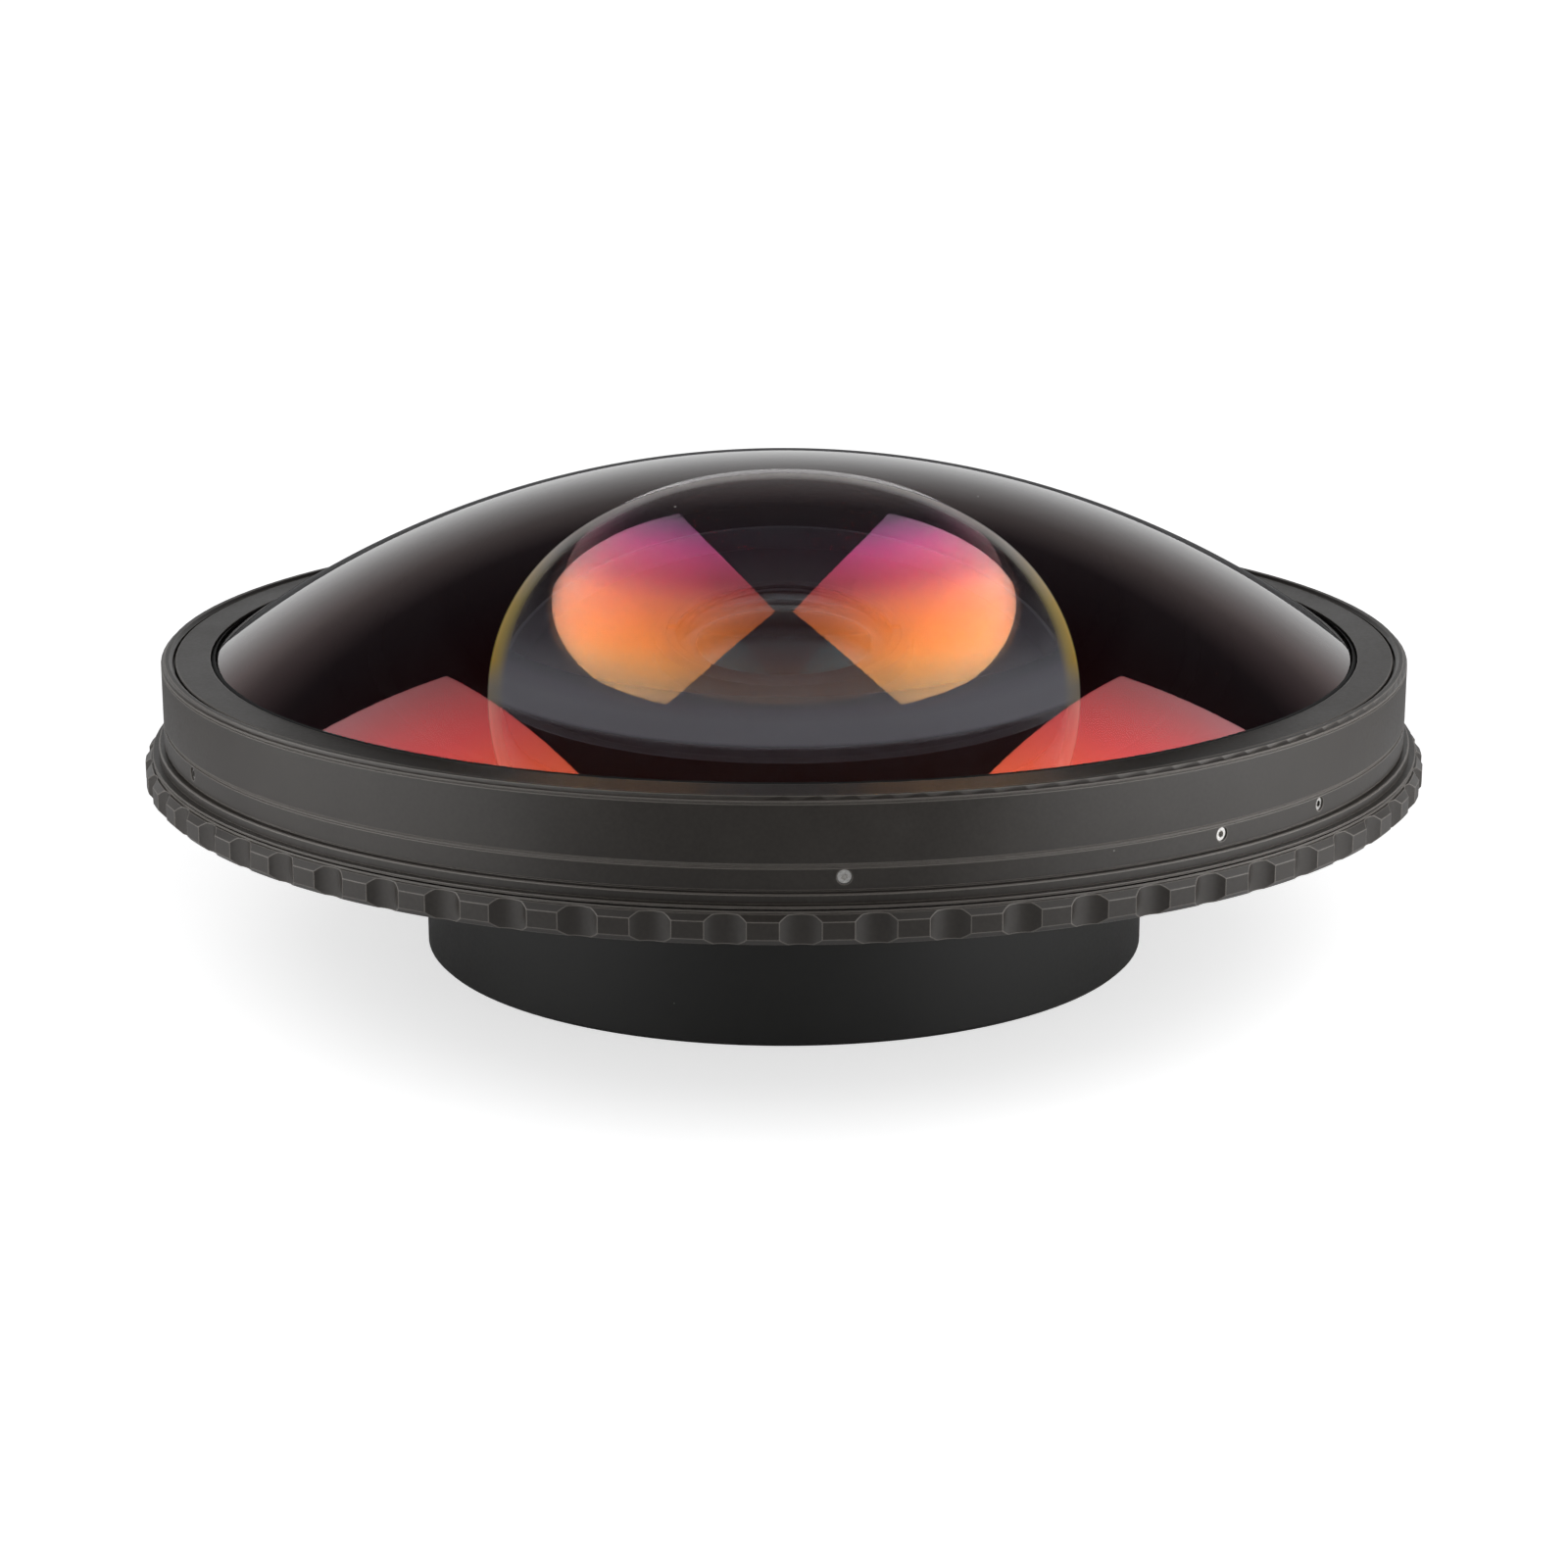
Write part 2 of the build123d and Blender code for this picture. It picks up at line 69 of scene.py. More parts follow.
# The left one of the two soft panels that lean together over the lens. The right one mirrors it.
# The glare is how many times its radiance a panel's face adds where polished glass mirrors or shows
# it, and was fitted. The hot place is the brightest spot, in shares of the panel's length and
# drop, and the light falls off with the distance from it.
PANEL_BACK_CORNER = Vector((-131.0, 79.0, 199.0)) * MM
PANEL_FRONT_CORNER = Vector((-10.0, -140.0, 151.0)) * MM
PANEL_DOWN = Vector((-0.579, -0.144, -0.803))
PANEL_DROP = 240.0 * MM
LEFT_PANEL_RADIANCE = 2.1
RIGHT_PANEL_RADIANCE = 2.7
PANEL_GLARE = 5.0
PANEL_FACE_GAP = 1.0 * MM
PANEL_HOT_ALONG = 0.59
PANEL_HOT_DOWN = 0.75
PANEL_FALL = [
    (0.00, (1.00, 1.00, 1.00)),
    (0.16, (0.80, 0.80, 0.80)),
    (0.32, (0.67, 0.67, 0.67)),
    (0.40, (0.53, 0.53, 0.53)),
    (0.54, (0.37, 0.37, 0.37)),
    (0.66, (0.25, 0.25, 0.25)),
    (0.80, (0.18, 0.18, 0.18)),
    (1.00, (0.10, 0.10, 0.10)),
]

# Coatings. Each stop holds a place, and then a colour with the share that is turned back.
# The dome's runs by Facing, from square on to edge on.
DOME_COATING = [
    (0.00, (1.0, 0.20, 0.05, 0.16)),
    (0.28, (1.0, 0.11, 0.03, 0.18)),
    (0.36, (1.0, 0.03, 0.03, 0.14)),
    (0.44, (1.0, 0.01, 0.03, 0.09)),
    (0.55, (1.0, 0.20, 0.30, 0.06)),
    (0.70, (1.0, 0.45, 0.42, 0.10)),
    (0.86, (1.0, 0.90, 0.90, 0.04)),
    (1.00, (1.0, 1.00, 1.00, 0.00)),
]

# The hollow's coating from its rim up to its top
CAVITY_LOW, CAVITY_HIGH = 24.0 * MM, 44.0 * MM
CAVITY_COATING = [
    (0.00, (0.80, 0.50, 0.25, 0.075)),
    (0.15, (1.00, 0.52, 0.17, 0.085)),
    (0.25, (1.00, 0.42, 0.10, 0.098)),
    (0.38, (1.00, 0.28, 0.04, 0.128)),
    (0.50, (1.00, 0.24, 0.05, 0.130)),
    (0.60, (1.00, 0.22, 0.09, 0.130)),
    (0.72, (1.00, 0.11, 0.18, 0.105)),
    (0.80, (1.00, 0.11, 0.30, 0.130)),
    (0.86, (1.00, 0.12, 0.41, 0.145)),
    (0.95, (0.81, 0.20, 0.58, 0.108)),
    (1.00, (0.60, 0.30, 0.60, 0.050)),
]

# A grey diffuse layer in the hollow, thickest low down, that was fitted: the photograph shows the grey,
# and not where it comes from. It lies only where light passes the surface. Seen more edge on than this
# value of Facing, the surface turns all light back.
TOTAL_REFLECTION = 0.2546
GREY_LAYER_LOW = 22.0 * MM
CAVITY_GREY_LAYER = [
    (0.015, (0.00, 0.00, 0.00)),
    (0.045, (0.55, 0.55, 0.55)),
    (0.140, (0.50, 0.50, 0.50)),
    (0.230, (0.33, 0.33, 0.33)),
    (0.360, (0.15, 0.15, 0.15)),
    (0.540, (0.05, 0.05, 0.05)),
    (0.730, (0.012, 0.012, 0.012)),
]

# A bright line just inside the edge of total reflection, also fitted: its strength by Facing,
# and its colour by height
# Painted highlight: the line is a pale diffuse colour in the hollow's glass, which stands in for the light
# seen there.
PAINTED_RIM_BAND = [
    (0.224, (0.0, 0.0, 0.0)),
    (0.238, (0.6, 0.6, 0.6)),
    (0.254, (1.0, 1.0, 1.0)),
    (0.256, (0.0, 0.0, 0.0)),
]
PAINTED_RIM_COLOURS = [
    (0.00, (0.55, 0.50, 0.38)),
    (0.12, (0.90, 0.62, 0.14)),
    (0.40, (1.00, 0.76, 0.26)),
    (0.70, (1.00, 0.96, 0.88)),
    (1.00, (1.00, 0.98, 0.94)),
]

# The rear glasses' thin teal coating and a slight grey diffuse layer, by Facing
INNER_COATING = [
    (0.00, (0.25, 0.85, 1.00, 0.010)),
    (0.60, (0.25, 0.85, 1.00, 0.012)),
    (1.00, (0.60, 0.90, 0.90, 0.020)),
]
INNER_GREY_LAYER = [
    (0.00, (0.04, 0.04, 0.04)),
    (1.00, (0.08, 0.08, 0.08)),
]

# The cemented faces, nearly bare
PLAIN_COATING = [
    (0.00, (1.00, 1.00, 1.00, 0.00)),
    (1.00, (1.00, 1.00, 1.00, 0.02)),
]

# Anodised metals: a darker and a lighter shade, the colour and width of the highlight painted on edges,
# the roughness, and the pitch and depth of the turned lines
METALS = {
    "housing": {
        "name": "satin_anodised",
        "colour": (0.019, 0.0155, 0.0125),
        "lighter": (0.029, 0.0245, 0.0205),
        "edge_highlight": (0.16, 0.145, 0.13),
        "edge": 0.16 * MM,
        "rough": 0.33,
        "line_pitch": 0.08 * MM,
        "line_depth": 0.004 * MM,
    },
    "barrel": {
        "name": "matte_anodised",
        "colour": (0.0026, 0.0024, 0.0019),
        "lighter": (0.0045, 0.0042, 0.0034),
        "edge_highlight": (0.02, 0.019, 0.017),
        "edge": 0.12 * MM,
        "rough": 0.50,
        "line_pitch": 0.10 * MM,
        "line_depth": 0.006 * MM,
    },
    "cell": {
        "name": "cell_anodised",
        "colour": (0.050, 0.053, 0.064),
        "lighter": (0.070, 0.074, 0.088),
        "edge_highlight": (0.10, 0.105, 0.12),
        "edge": 0.12 * MM,
        "rough": 0.50,
        "line_pitch": 0.20 * MM,
        "line_depth": 0.004 * MM,
    },
}
METAL_IOR = 1.5
METAL_RELIEF = 0.25

# A metal's noise: clouds and grain in turns to the metre, the clouds' share of the colour, the values
# between which the shades turn, and how far the roughness wanders over which values
CLOUD_SCALE = 90.0
GRAIN_SCALE = 2600.0
CLOUD_SHARE = 0.6
SHADES_FROM, SHADES_TO = 0.35, 0.65
ROUGH_FROM, ROUGH_TO = 0.6, 1.4
ROUGH_LESS, ROUGH_MORE = 0.05, 0.06

# How close the turned lines lie on a flat face, against those on a straight wall
FACING_LINES = 0.7

# How far an edge's rounded normal leans from the flat one, before the painted edge highlight shows
EDGE_HIGHLIGHT = [
    (0.02, (0.0, 0.0, 0.0)),
    (0.20, (1.0, 1.0, 1.0)),
]

# Screw steel: scratches in turns to the metre, with their depth and strength, shades and roughness
SCRATCH_SCALE = 6000.0
SCRATCH_DEPTH = 0.01 * MM
SCRATCH_RELIEF = 0.2
STEEL_SHADES = [
    (0.3, (0.55, 0.54, 0.52)),
    (0.7, (0.80, 0.79, 0.77)),
]
STEEL_ROUGH = 0.24

# Rubber, paint and plastic: grain in turns to the metre, with its depth and strength, the values
# between which it lightens, by how much, and the little that these surfaces mirror
DULL_GRAIN_SCALE = 4000.0
DULL_GRAIN_DEPTH = 0.02 * MM
DULL_RELIEF = 0.3
DULL_FROM, DULL_TO = 0.3, 0.7
DULL_LIGHTER = 1.5
DULL_SPECULAR = 0.15

# Dust: cells to the metre, a speck's size against its cell, the share of cells without one, and how
# far a speck covers metal
DUST_SPACING = 190.0
DUST_RADIUS = 0.021
DUST_FREE = 0.72
METAL_DUST_COVER = 0.5

# Plain colours
WHITE = (1.0, 1.0, 1.0, 1.0)
BLACK = (0.0, 0.0, 0.0, 1.0)
METAL_DUST = (0.30, 0.29, 0.27, 1.0)
GLASS_DUST = (0.60, 0.58, 0.55, 1.0)
GREY_LAYER_COLOUR = (0.72, 0.75, 0.84, 1.0)

# Index at the front glass and the cemented faces, and at the other faces of the three smaller glasses.
# The second is lower than any real glass has, and keeps a white line off the small glass.
GLASS_IOR = 1.5
INNER_IOR = 1.2

# Floor: where its own white glow starts and is full, and how strong it is under the lens
FLOOR_HALF = 3.0
FLOOR_HEIGHT = -0.02 * MM
FLOOR_GREYS = [
    (0.3, (0.79, 0.79, 0.79)),
    (0.7, (0.81, 0.81, 0.81)),
]
FLOOR_GLOW_FROM_TO = (0.05, 0.17)
FLOOR_GLOW_NEAR = 0.60

# World by the height of the direction looked in
WORLD_BAND = [
    (0.00, (0.92, 0.92, 0.92)),
    (0.12, (0.72, 0.72, 0.72)),
    (0.22, (0.48, 0.48, 0.48)),
    (0.36, (0.20, 0.20, 0.20)),
    (0.50, (0.05, 0.05, 0.055)),
    (1.00, (0.03, 0.03, 0.035)),
]


# Nodes


class Nodes:
    """A node tree that is written one node at a time."""

    def __init__(self, tree):
        self.tree = tree
        tree.nodes.clear()

    def add(self, kind, settings=None, **inputs):
        """Adds a node. Each input goes by its name, or by the letter i and its number.

        It is a number, a colour or another node's output.
        """
        node = self.tree.nodes.new(kind)
        for key, value in (settings or {}).items():
            setattr(node, key, value)
        for key, value in inputs.items():
            name = key.replace("_", " ")
            socket = node.inputs[int(key[1:])] if key[1:].isdigit() else node.inputs[name]
            if isinstance(value, bpy.types.NodeSocket):
                self.tree.links.new(value, socket)
            else:
                socket.default_value = value
        return node

    def maths(self, operation, a, b=0.0):
        """The output of a maths node."""
        return self.add("ShaderNodeMath", {"operation": operation}, i0=a, i1=b).outputs[0]

    def ramp(self, value, stops):
        """A colour ramp through (place, colour) stops. A fourth number in a colour is its share."""
        node = self.add("ShaderNodeValToRGB", i0=value)
        elements = node.color_ramp.elements
        while len(elements) < len(stops):
            elements.new(1.0)
        for element, (place, colour) in zip(elements, stops):
            element.position = place
            element.color = tuple(colour) + (1.0,) * (4 - len(colour))
        return node

    def blend(self, share, first, second):
        """A colour that turns from the first into the second with the share."""
        return self.add("ShaderNodeMix", {"data_type": "RGBA"}, i0=share, i6=first, i7=second).outputs[2]

    def mixed(self, share, first, second):
        """A shader that turns from the first into the second with the share."""
        return self.add("ShaderNodeMixShader", i0=share, i1=first.outputs[0], i2=second.outputs[0])

    def range(self, value, low, high, to_low, to_high):
        """A value taken from one range to another."""
        node = self.add("ShaderNodeMapRange", i0=value, i1=low, i2=high, i3=to_low, i4=to_high)
        return node.outputs[0]


def material(name):
    """A new material and its empty node tree."""
    made = bpy.data.materials.new(name)
    made.use_nodes = True
    return made, Nodes(made.node_tree)


def finish_material(nodes, shader):
    """Links the shader to the material's output."""
    nodes.add("ShaderNodeOutputMaterial", i0=shader)


def noise(nodes, scale, detail=3.0):
    """Noise in the object's own space, with its scale in turns to the metre."""
    place = nodes.add("ShaderNodeTexCoord").outputs["Object"]
    cloud = nodes.add("ShaderNodeTexNoise", Vector=place, Scale=scale, Detail=detail)
    return cloud.outputs[0]


def length_of(nodes, x, y):
    """The length of the vector (x, y)."""
    squares = [nodes.maths("MULTIPLY", part, part) for part in (x, y)]
    return nodes.maths("SQRT", nodes.maths("ADD", *squares))


def own_place(nodes):
    """The three coordinates of the object's own space."""
    place = nodes.add("ShaderNodeTexCoord").outputs["Object"]
    return nodes.add("ShaderNodeSeparateXYZ", i0=place).outputs


def turning_lines(nodes, pitch):
    """Fine lines left by a lathe: noise that runs along the axis and outwards, and not round it."""
    parts = own_place(nodes)
    outwards = length_of(nodes, parts[0], parts[1])
    along = nodes.maths("ADD", parts[2], nodes.maths("MULTIPLY", outwards, FACING_LINES))
    count = nodes.maths("MULTIPLY", along, 1.0 / pitch)
    settings = {"noise_dimensions": "1D"}
    return nodes.add("ShaderNodeTexNoise", settings, W=count, Scale=1.0, Detail=2.0).outputs[0]


# Materials


def anodised(name, colour, lighter, edge_highlight, edge, rough, line_pitch, line_depth):
    """Anodised aluminium: turned lines, a faintly uneven colour, edges painted paler as a highlight, and a
    little dust.
    """
    made, nodes = material(name)
    cloud = noise(nodes, CLOUD_SCALE)
    grain = noise(nodes, GRAIN_SCALE, 2.0)
    both = nodes.maths("ADD", nodes.maths("MULTIPLY", cloud, CLOUD_SHARE),
                       nodes.maths("MULTIPLY", grain, 1.0 - CLOUD_SHARE))
    base = nodes.ramp(both, [(SHADES_FROM, colour), (SHADES_TO, lighter)]).outputs[0]
    soft_edge = nodes.add("ShaderNodeBevel", {"samples": 6}, Radius=edge).outputs[0]
    flat = nodes.add("ShaderNodeNewGeometry").outputs["Normal"]
    lean = nodes.add("ShaderNodeVectorMath", {"operation": "DISTANCE"}, i0=soft_edge, i1=flat)
    # Painted highlight: edges turn paler where the rounded normal leans from the flat one.
    edge_highlight_share = nodes.ramp(lean.outputs["Value"], EDGE_HIGHLIGHT).outputs[0]
    base = nodes.blend(edge_highlight_share, base, edge_highlight + (1.0,))
    base = nodes.blend(nodes.maths("MULTIPLY", dust_share(nodes), METAL_DUST_COVER), base, METAL_DUST)
    roughness = nodes.range(nodes.maths("ADD", cloud, grain), ROUGH_FROM, ROUGH_TO,
                            rough - ROUGH_LESS, rough + ROUGH_MORE)
    relief = nodes.add("ShaderNodeBump", Strength=METAL_RELIEF, Distance=line_depth, Normal=soft_edge,
                       Height=nodes.maths("ADD", turning_lines(nodes, line_pitch), grain))
    shader = nodes.add("ShaderNodeBsdfPrincipled", Base_Color=base, Roughness=roughness,
                       Normal=relief.outputs[0], IOR=METAL_IOR)
    finish_material(nodes, shader.outputs[0])
    return made


def steel(name):
    """Bright screw steel with fine scratches."""
    made, nodes = material(name)
    scratch = noise(nodes, SCRATCH_SCALE, 2.0)
    base = nodes.ramp(scratch, STEEL_SHADES).outputs[0]
    relief = nodes.add("ShaderNodeBump", Strength=SCRATCH_RELIEF, Distance=SCRATCH_DEPTH, Height=scratch)
    shader = nodes.add("ShaderNodeBsdfPrincipled", Base_Color=base, Metallic=1.0, Roughness=STEEL_ROUGH,
                       Normal=relief.outputs[0])
    finish_material(nodes, shader.outputs[0])
    return made


def dull(name, colour, rough):
    """Dull rubber, paint or slippery plastic with a fine grain."""
    made, nodes = material(name)
    grain = noise(nodes, DULL_GRAIN_SCALE, 2.0)
    lighter = tuple(DULL_LIGHTER * part for part in colour)
    base = nodes.ramp(grain, [(DULL_FROM, colour), (DULL_TO, lighter)]).outputs[0]
    relief = nodes.add("ShaderNodeBump", Strength=DULL_RELIEF, Distance=DULL_GRAIN_DEPTH, Height=grain)
    shader = nodes.add("ShaderNodeBsdfPrincipled", Base_Color=base, Roughness=rough,
                       Normal=relief.outputs[0])
    shader.inputs["Specular IOR Level"].default_value = DULL_SPECULAR
    finish_material(nodes, shader.outputs[0])
    return made


def coated_glass(name, place, stops, ior=GLASS_IOR, dust=False, grey_layer=None, painted_rim_line=False):
    """Clear glass under a coloured coating.

    The stops give the coating's colour, and as fourth number how much of the light it turns back.
    The place is what the stops run along: a function of the node tree that gives a value. The grey layer
    is a pair of such a function and its own stops.
    """
    made, nodes = material(name)
    clear = nodes.add("ShaderNodeBsdfPrincipled", Base_Color=WHITE, Roughness=0.0, IOR=ior)
    clear.inputs["Transmission Weight"].default_value = 1.0
    clear.inputs["Specular Tint"].default_value = BLACK
    film = nodes.ramp(place(nodes), stops)
    mirror = nodes.add("ShaderNodeBsdfPrincipled", Base_Color=film.outputs[0], Metallic=1.0, Roughness=0.0)
    shader = nodes.mixed(film.outputs[1], clear, mirror)
    if grey_layer:
        grey = nodes.add("ShaderNodeBsdfDiffuse", Color=GREY_LAYER_COLOUR)
        clear_angle = nodes.maths("LESS_THAN", by_angle(nodes), TOTAL_REFLECTION)
        layer_place, layer_stops = grey_layer
        share = nodes.maths("MULTIPLY", nodes.ramp(layer_place(nodes), layer_stops).outputs[0], clear_angle)
        shader = nodes.mixed(share, shader, grey)
    # Painted highlight: a pale diffuse band at the edge of total reflection, coloured by height.
    if painted_rim_line:
        glow = nodes.add("ShaderNodeBsdfDiffuse", Color=nodes.ramp(place(nodes), PAINTED_RIM_COLOURS).outputs[0])
        shader = nodes.mixed(painted_rim_share(nodes), shader, glow)
    if dust:
        speck = nodes.add("ShaderNodeBsdfDiffuse", Color=GLASS_DUST)
        shader = nodes.mixed(dust_share(nodes), shader, speck)
    finish_material(nodes, shader.outputs[0])
    return made


def dust_share(nodes):
    """1 on a few tiny specks of dust, and 0 elsewhere."""
    place = nodes.add("ShaderNodeTexCoord").outputs["Object"]
    spots = nodes.add("ShaderNodeTexVoronoi", Vector=place, Scale=DUST_SPACING)
    near = nodes.maths("LESS_THAN", spots.outputs["Distance"], DUST_RADIUS)
    chance = nodes.add("ShaderNodeSeparateColor", i0=spots.outputs["Color"]).outputs[0]
    return nodes.maths("MULTIPLY", near, nodes.maths("GREATER_THAN", chance, DUST_FREE))


def painted_rim_share(nodes):
    """The thin band of painted highlight, where light inside the glass only just passes the surface."""
    inside = nodes.add("ShaderNodeNewGeometry").outputs["Backfacing"]
    band = nodes.ramp(by_angle(nodes), PAINTED_RIM_BAND).outputs[0]
    return nodes.maths("MULTIPLY", inside, band)


def by_angle(nodes):
    """0 where the surface is seen square on, 1 where it is seen edge on."""
    return nodes.add("ShaderNodeLayerWeight", Blend=0.5).outputs["Facing"]


def by_height(low, high):
    """0 at the lower height and 1 at the upper one, as a function of the node tree."""
    def value(nodes):
        return nodes.range(own_place(nodes)[2], low, high, 0.0, 1.0)
    return value


def make_materials():
    """Every material of the lens, by the name it has here."""
    return {
        **{metal: anodised(**look) for metal, look in METALS.items()},
        "steel": steel("bright_steel"),
        "seal": dull("seal_rubber", colour=(0.010, 0.010, 0.010), rough=0.62),
        "slip": dull("slip_plastic", colour=(0.045, 0.045, 0.047), rough=0.42),
        "paint": dull("edge_paint", colour=(0.0008, 0.0007, 0.0007), rough=0.80),
        "dome": coated_glass("dome_coating", by_angle, DOME_COATING, dust=True),
        "cavity": coated_glass("cavity_coating", by_height(CAVITY_LOW, CAVITY_HIGH), CAVITY_COATING,
                               grey_layer=(by_height(GREY_LAYER_LOW, CAVITY_HIGH), CAVITY_GREY_LAYER), painted_rim_line=True),
        "inner": coated_glass("inner_coating", by_angle, INNER_COATING, ior=INNER_IOR,
                              grey_layer=(by_angle, INNER_GREY_LAYER)),
        "plain": coated_glass("cemented_glass", by_angle, PLAIN_COATING),
    }


NODE_MATERIALS = {
    "mount_thread_ring": "barrel",
    "rear_barrel": "barrel",
    "rear_housing": "barrel",
    "barrel_screws": "steel",
    "swivel_washer": "slip",
    "inner_cell": "cell",
    "field_stop": "cell",
    "second_element": "inner",
    "second_element_retainer": "cell",
    "rear_crown_element": "inner",
    "rear_flint_element": "inner",
    "rear_element_retainer": "cell",
    "front_element": "dome",
    "glass_seat_ring": "slip",
    "main_housing": "housing",
    "set_screws": "steel",
    "front_shell": "housing",
    "front_retaining_ring": "housing",
    "front_seal": "seal",
    "stop_washer": "housing",
    "knurled_ring": "housing",
}


def dress_solids(nodes, looks):
    """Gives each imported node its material."""
    for name, node in nodes.items():
        node.data.materials.clear()
        node.data.materials.append(looks[NODE_MATERIALS[name]])


# Objects and turned pieces


def linked(name, data):
    """A new object of this data, in the scene."""
    made = bpy.data.objects.new(name, data)
    bpy.context.scene.collection.objects.link(made)
    return made


def flat_sheet(name, half_width, half_depth, height=0.0):
    """The mesh of a flat rectangle round the origin, which faces up."""
    mesh = bpy.data.meshes.new(name)
    corners = [(x * half_width, y * half_depth, height) for x, y in ((-1, -1), (1, -1), (1, 1), (-1, 1))]
    mesh.from_pydata(corners, [], [(0, 1, 2, 3)])
    return mesh


def arc(radius, top, start, end):
    """Points on a sphere with its top at this height, between two distances from the axis."""
    first, last = math.asin(start / radius), math.asin(end / radius)
    angles = [first + (last - first) * step / ARC_STEPS for step in range(ARC_STEPS + 1)]
    return [(radius * math.sin(angle), top - radius * (1 - math.cos(angle))) for angle in angles]


def joined_profile(stretches):
    """One line of (distance, height) points through all stretches, and the stretch of each step."""
    profile, kinds = [stretches[0][0][0]], []
    for index, (points, _) in enumerate(stretches):
        profile.extend(points[1:])
        kinds.extend([index] * (len(points) - 1))
    return profile, kinds


def turned_points(profile, steps):
    """The points of a profile turned round the axis, and for each profile point its row of numbers."""
    turns = [(math.cos(2 * math.pi * k / steps), math.sin(2 * math.pi * k / steps)) for k in range(steps)]
    points, rows = [], []
    for radius, height in profile:
        if radius < ON_AXIS:
            rows.append([len(points)] * steps)
            points.append((0.0, 0.0, height))
        else:
            rows.append(list(range(len(points), len(points) + steps)))
            points.extend((radius * c, radius * s, height) for c, s in turns)
    return points, rows


def turned_faces(rows):
    """The faces between neighbouring rows. A face that touches the axis has three corners."""
    faces = []
    for inner, outer in zip(rows, rows[1:]):
        for k, after in zip(range(len(inner)), list(range(1, len(inner))) + [0]):
            faces.append(list(dict.fromkeys((inner[k], outer[k], outer[after], inner[after]))))
    return faces


def sharp_edges(rows, kinds):
    """The edges round the piece where one stretch ends and the next one starts."""
    sharp = set()
    for row, ring in enumerate(rows[1:-1], start=1):
        if kinds[row] != kinds[row - 1]:
            sharp.update(tuple(sorted(pair)) for pair in zip(ring, ring[1:] + ring[:1]))
    return sharp


def turned(name, stretches, looks, steps=TURN_STEPS):
    """A closed body of revolution. Each stretch of its section is a list of points and a material."""
    profile, kinds = joined_profile(stretches)
    points, rows = turned_points(profile, steps)
    mesh = bpy.data.meshes.new(name)
    mesh.from_pydata(points, [], turned_faces(rows))
    order = list(dict.fromkeys(look for _, look in stretches))
    for look in order:
        mesh.materials.append(looks[look])
    for number, face in enumerate(mesh.polygons):
        face.use_smooth = True
        face.material_index = order.index(stretches[kinds[number // steps]][1])
    sharp = sharp_edges(rows, kinds)
    for edge in mesh.edges:
        edge.use_edge_sharp = tuple(sorted(edge.vertices)) in sharp
    return linked(name, mesh)


def sphere(rim, rise):
    """Radius of the sphere whose cap has this rim and this rise."""
    return (rim * rim + rise * rise) / (2 * rise)


def reach(node):
    """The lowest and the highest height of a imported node."""
    low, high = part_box(node)
    return low[2], high[2]


def place_glass(made, node, body):
    """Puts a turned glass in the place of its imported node."""
    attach(made, body)
    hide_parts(node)


def front_glass(looks):
    """The big meniscus: coated dome and hollow, blackened edge, cone and back."""
    back, top = reach("front_element")
    edge_top = top - DOME_HEIGHT
    edge_bottom = edge_top - GLASS_EDGE_HEIGHT
    cavity_top = top - GLASS_CENTRE
    dome = arc(sphere(GLASS_RADIUS, DOME_HEIGHT), top, 0.0, GLASS_RADIUS)
    cavity = arc(sphere(CAVITY_RIM, cavity_top - back), cavity_top, 0.0, CAVITY_RIM)
    cavity.reverse()
    glass = turned("front_glass", [
        (dome, "dome"),
        ([dome[-1], (GLASS_RADIUS, edge_bottom)], "paint"),
        ([(GLASS_RADIUS, edge_bottom), (GLASS_BACK_RADIUS, back)], "paint"),
        ([(GLASS_BACK_RADIUS, back), cavity[0]], "paint"),
        (cavity, "cavity"),
    ], looks)
    place_glass(glass, "front_element", "front")


def second_glass(looks):
    """The small meniscus in the middle of the cell."""
    bottom, top = reach("second_element")
    bulge = top - bottom - SECOND_EDGE
    rim = SECOND_RADIUS - SECOND_LAND
    front = arc(sphere(SECOND_RADIUS, bulge), top, 0.0, SECOND_RADIUS)
    hollow = arc(sphere(rim, SECOND_HOLLOW), bottom + SECOND_HOLLOW, 0.0, rim)
    hollow.reverse()
    glass = turned("second_glass", [
        (front, "inner"),
        ([front[-1], (SECOND_RADIUS, bottom)], "paint"),
        ([(SECOND_RADIUS, bottom), hollow[0]], "paint"),
        (hollow, "inner"),
    ], looks)
    place_glass(glass, "second_element", "mount")


def rear_pair(looks):
    """The two rear glasses, with the cement's thin gap between them."""
    bottom, top = reach("rear_crown_element")
    crown_front = arc(sphere(PAIR_RADIUS, CROWN_BULGE), top, 0.0, PAIR_RADIUS)
    crown_back = cup(sphere(PAIR_RADIUS, CEMENT_BULGE), bottom, PAIR_RADIUS)
    crown = turned("rear_crown", [
        (crown_front, "inner"),
        ([crown_front[-1], crown_back[0]], "paint"),
        (crown_back, "plain"),
    ], looks)
    place_glass(crown, "rear_crown_element", "mount")
    bottom, top = reach("rear_flint_element")
    flint_front = cup(sphere(PAIR_RADIUS, CEMENT_BULGE), top - CEMENT_BULGE, PAIR_RADIUS)
    flint_front.reverse()
    flint_back = cup(sphere(PAIR_RADIUS, FLINT_BULGE), bottom, PAIR_RADIUS)
    flint = turned("rear_flint", [
        (flint_front, "plain"),
        ([flint_front[-1], flint_back[0]], "paint"),
        (flint_back, "inner"),
    ], looks)
    place_glass(flint, "rear_flint_element", "mount")


def cup(radius, bottom, rim):
    """Points on the lower side of a sphere with its lowest point at this height, from the rim inwards."""
    points = arc(radius, 0.0, 0.0, rim)
    points.reverse()
    return [(distance, bottom - height) for distance, height in points]


# Studio


